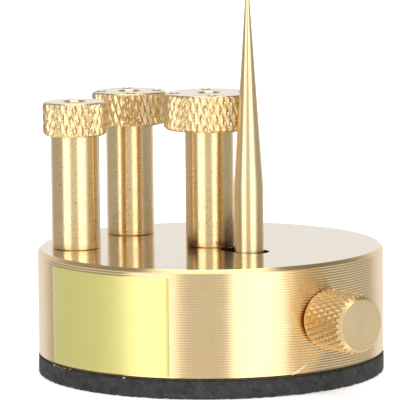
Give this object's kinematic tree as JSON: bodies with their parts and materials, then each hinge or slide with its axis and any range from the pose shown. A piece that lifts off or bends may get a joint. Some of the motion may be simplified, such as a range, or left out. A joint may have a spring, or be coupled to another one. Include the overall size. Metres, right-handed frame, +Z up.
{
  "type": "watch balance holder",
  "caption": "Bench stand for a wristwatch balance: brass disc on a rubber pad, knurled bored post, pointed spike moved along a slot by a side knob, loose spare posts on top.",
  "frame": {"origin": "middle of the rubber pad's underside", "axes": "+Z up along the base and post, +X along the slot and the side screw towards the knob"},
  "size_m": [0.058, 0.0502, 0.0564],
  "materials": {
    "base_brass": "fine turned sides, lapped top",
    "post_brass": "turned, knurled head",
    "spike_brass": "polished",
    "knob_brass": "knurled, faced end",
    "inner_brass": "milled",
    "steel": "turned",
    "pad_rubber": "matte, speckled",
    "adhesive": "dried glue",
    "label_foil": "satin foil"
  },
  "bodies": {
    "base": {"base_body": "base_brass", "rubber_pad": "pad_rubber", "pad_adhesive": "adhesive", "name_plate": "label_foil", "keeper_plate": "inner_brass", "keeper_screws": "steel", "thrust_washer": "steel"},
    "knob": {"thumb_knob": "knob_brass", "lead_screw": "steel", "retaining_clip": "steel"},
    "carriage": {"spike_carriage": "inner_brass", "spike": "spike_brass"},
    "pin": {"centre_pin": "steel"},
    "post": {"work_post": "post_brass"},
    "drilled_post": {"spare_post_drilled": "post_brass"},
    "plain_post": {"spare_post_plain": "post_brass"}
  },
  "joints": [
    {"name": "knob_turn", "type": "hinge", "parent": "base", "child": "knob", "pos_m": [0.029, 0, 0.0104], "axis": [-1, 0, 0], "range_deg": [-398, 685]},
    {"name": "spike_travel", "type": "slide", "parent": "base", "child": "carriage", "axis": [1, 0, 0], "range_m": [-0.00055, 0.00095]},
    {"name": "post_turn", "type": "hinge", "parent": "base", "child": "pin", "pos_m": [0, 0, 0.01815], "axis": [0, 0, 1], "continuous": true},
    {"name": "post_lift", "type": "slide", "parent": "pin", "child": "post", "axis": [0, 0, 1], "range_m": [0, 0.04]},
    {"name": "drilled_post_lift", "type": "slide", "parent": "base", "child": "drilled_post", "axis": [0, 0, 1], "range_m": [0, 0.04]},
    {"name": "plain_post_lift", "type": "slide", "parent": "base", "child": "plain_post", "axis": [0, 0, 1], "range_m": [0, 0.04]}
  ],
  "couplings": [
    {"joint": "knob_turn", "follows": "spike_travel", "rad_per_m": 12566}
  ]
}
